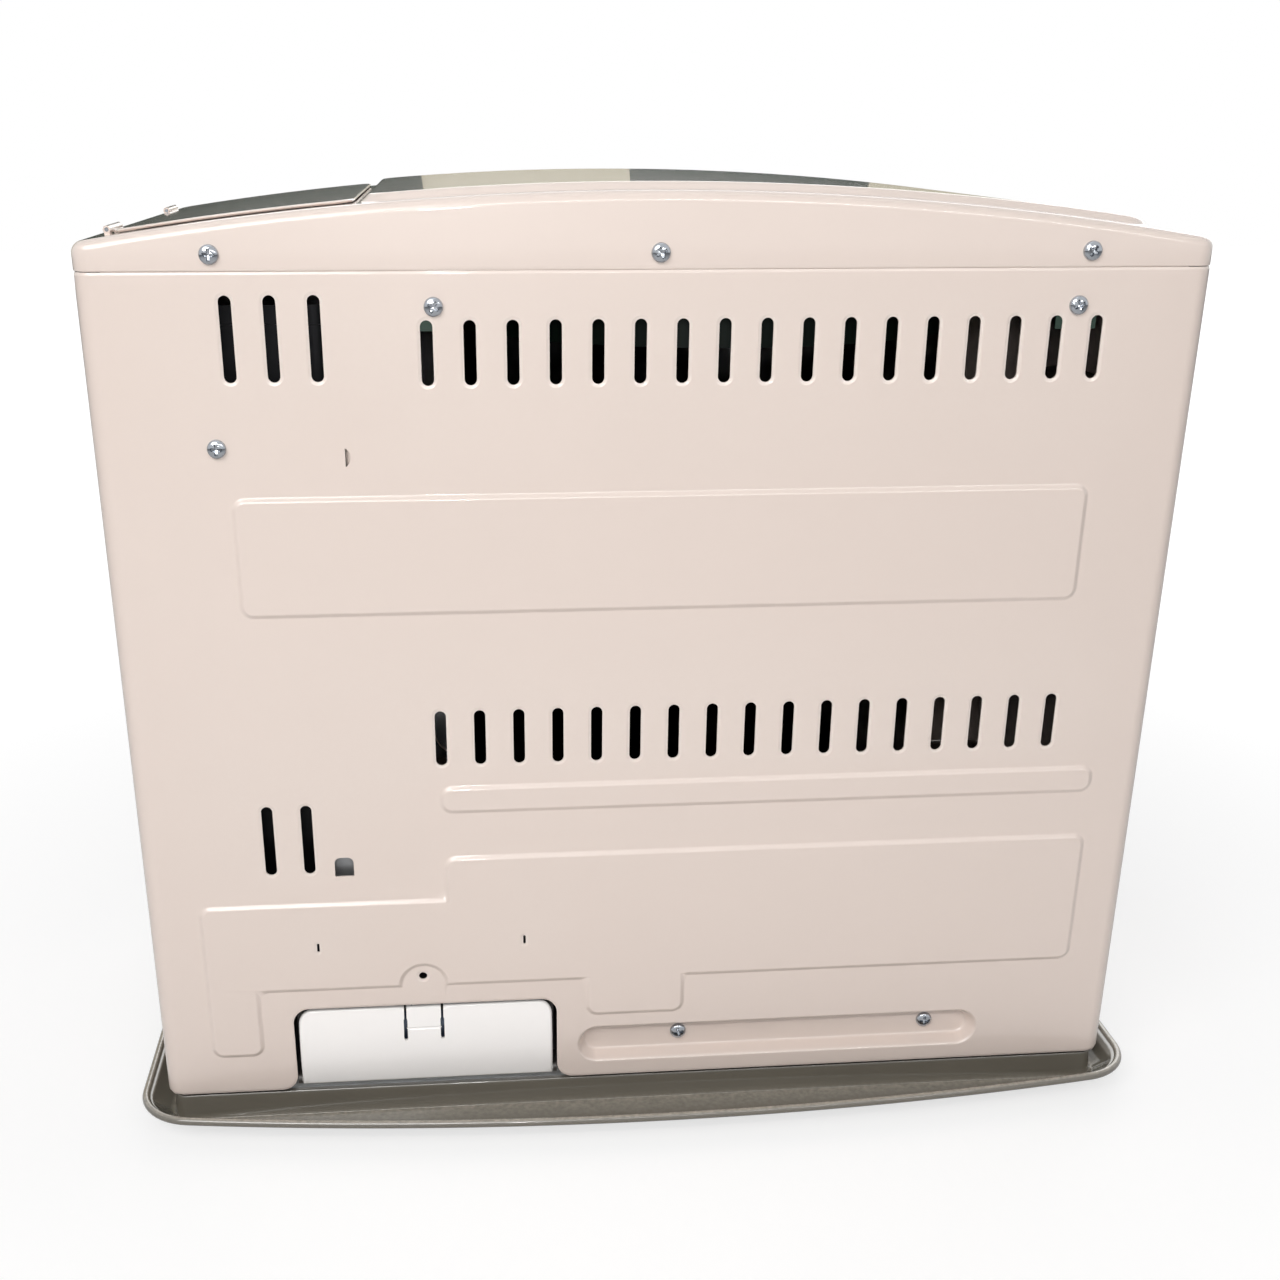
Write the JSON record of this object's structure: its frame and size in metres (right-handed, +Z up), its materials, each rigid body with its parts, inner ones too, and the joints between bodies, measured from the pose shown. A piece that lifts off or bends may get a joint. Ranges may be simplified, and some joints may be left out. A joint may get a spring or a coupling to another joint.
{
  "type": "paraffin heater",
  "caption": "Free-standing wick paraffin heater with an arched enamelled casing, slotted back, lift-out fuel tank, battery igniter, front guard and a drip tray underneath.",
  "frame": {"origin": "on the floor under the middle of the drip tray", "axes": "+Z up, -Y towards the front with the heat window, +X towards the fuel tank side"},
  "size_m": [0.513, 0.3238, 0.4503],
  "materials": {
    "casing_enamel": "glossy baked enamel",
    "tray_enamel": "glossy baked enamel",
    "foot_rubber": "matte",
    "galvanised_sheet": "zinc coated",
    "screw_zinc": "bright zinc plated",
    "dark_plastic": "satin",
    "grip_plastic": "satin",
    "control_enamel": "satin",
    "dial_white": "matte",
    "gauge_clear": "clear",
    "reservoir_steel": "tin coated",
    "burner_steel": "dull",
    "wick_felt": "woven glass fibre",
    "bush_brass": "turned",
    "reflector_bright": "mirror polished",
    "shield_green": "dark green enamel",
    "chimney_glass": "clear, heat resistant",
    "flame_steel": "heat tinted",
    "guard_chrome": "bright plated wire",
    "coil_wire": "resistance wire",
    "button_red": "gloss",
    "cover_plastic": "gloss white",
    "cell_jacket": "printed film, plain",
    "wire_cover": "soft",
    "tank_steel": "galvanised",
    "weight_iron": "plated"
  },
  "bodies": {
    "casing": {"drip_tray": "tray_enamel", "tray_feet": "foot_rubber", "base_pan": "galvanised_sheet", "base_screws": "screw_zinc", "rear_panel": "casing_enamel", "rear_screws": "screw_zinc", "side_panel_left": "casing_enamel", "side_panel_right": "casing_enamel", "side_grip_left": "grip_plastic", "side_grip_right": "grip_plastic", "front_frame": "casing_enamel", "control_panel": "control_enamel", "gauge_dial": "dial_white", "gauge_lens": "gauge_clear", "top_plate": "casing_enamel", "top_screws": "screw_zinc", "lid_pins": "screw_zinc", "partition": "galvanised_sheet", "tank_bracket": "galvanised_sheet", "bay_floor": "galvanised_sheet", "fuel_reservoir": "reservoir_steel", "reservoir_rails": "galvanised_sheet", "fuel_strainer": "galvanised_sheet", "burner_base": "burner_steel", "air_tube": "burner_steel", "flame_spreader": "flame_steel", "shaft_bush": "bush_brass", "burner_deck": "galvanised_sheet", "reflector": "reflector_bright", "heat_shield": "shield_green", "guard_clip": "screw_zinc", "igniter_rail": "screw_zinc", "battery_case": "dark_plastic", "batteries": "cell_jacket", "battery_contacts": "screw_zinc", "igniter_wires": "wire_cover", "quake_bracket": "galvanised_sheet"},
    "lid": {"tank_lid": "casing_enamel"},
    "tank": {"cartridge_tank": "tank_steel", "tank_cap": "dark_plastic", "tank_handle": "dark_plastic"},
    "guard_frame": {"guard": "guard_chrome", "guard_bars": "guard_chrome"},
    "knob": {"wick_knob": "dark_plastic", "wick_shaft": "screw_zinc"},
    "wick_unit": {"wick": "wick_felt", "wick_carrier": "galvanised_sheet"},
    "igniter": {"igniter_carriage": "galvanised_sheet", "igniter_coil": "coil_wire", "ignition_knob": "dark_plastic"},
    "button": {"extinguish_button": "button_red"},
    "chimney": {"chimney_base": "burner_steel", "chimney_glass": "chimney_glass", "outer_flame_tube": "flame_steel", "inner_flame_tube": "flame_steel", "flame_tube_pins": "flame_steel", "chimney_cap": "burner_steel", "chimney_knob": "dark_plastic"},
    "battery_door": {"battery_cover": "cover_plastic"},
    "quake": {"quake_weight": "weight_iron"}
  },
  "joints": [
    {"name": "lid_hinge", "type": "hinge", "parent": "casing", "child": "lid", "pos_m": [0.23, 0.011, 0.43114], "axis": [0, 1, 0], "range_deg": [0, 100]},
    {"name": "tank_lift", "type": "slide", "parent": "casing", "child": "tank", "axis": [0, 0, 1], "range_m": [0, 0.012]},
    {"name": "guard_hinge", "type": "hinge", "parent": "casing", "child": "guard_frame", "pos_m": [-0.204, -0.112, 0.26], "axis": [0, 0, -1], "range_deg": [0, 110]},
    {"name": "wick_turn", "type": "hinge", "parent": "casing", "child": "knob", "pos_m": [-0.001, -0.11, 0.07], "axis": [0, 1, 0], "range_deg": [0, 150]},
    {"name": "wick_lift", "type": "slide", "parent": "casing", "child": "wick_unit", "axis": [0, 0, 1], "range_m": [0, 0.01045]},
    {"name": "ignition_slide", "type": "slide", "parent": "casing", "child": "igniter", "axis": [1, 0, 0], "range_m": [0, 0.013], "stiffness_N_per_m": 120, "springref_m": -0.006},
    {"name": "button_press", "type": "slide", "parent": "casing", "child": "button", "axis": [0, 1, 0], "range_m": [0, 0.006], "stiffness_N_per_m": 350, "springref_m": -0.003},
    {"name": "chimney_turn", "type": "hinge", "parent": "casing", "child": "chimney", "pos_m": [-0.046, -0.014, 0.1213], "axis": [0, 0, 1], "range_deg": [-10, 10]},
    {"name": "battery_door_hinge", "type": "hinge", "parent": "casing", "child": "battery_door", "pos_m": [0.1113, 0.1234, 0.025], "axis": [-1, 0, 0], "range_deg": [0, 75]},
    {"name": "quake_swing", "type": "hinge", "parent": "casing", "child": "quake", "pos_m": [-0.2165, -0.062, 0.066], "axis": [0, 1, 0], "range_deg": [-8, 8]}
  ],
  "couplings": [
    {"joint": "wick_turn", "follows": "wick_lift", "rad_per_m": 250}
  ]
}
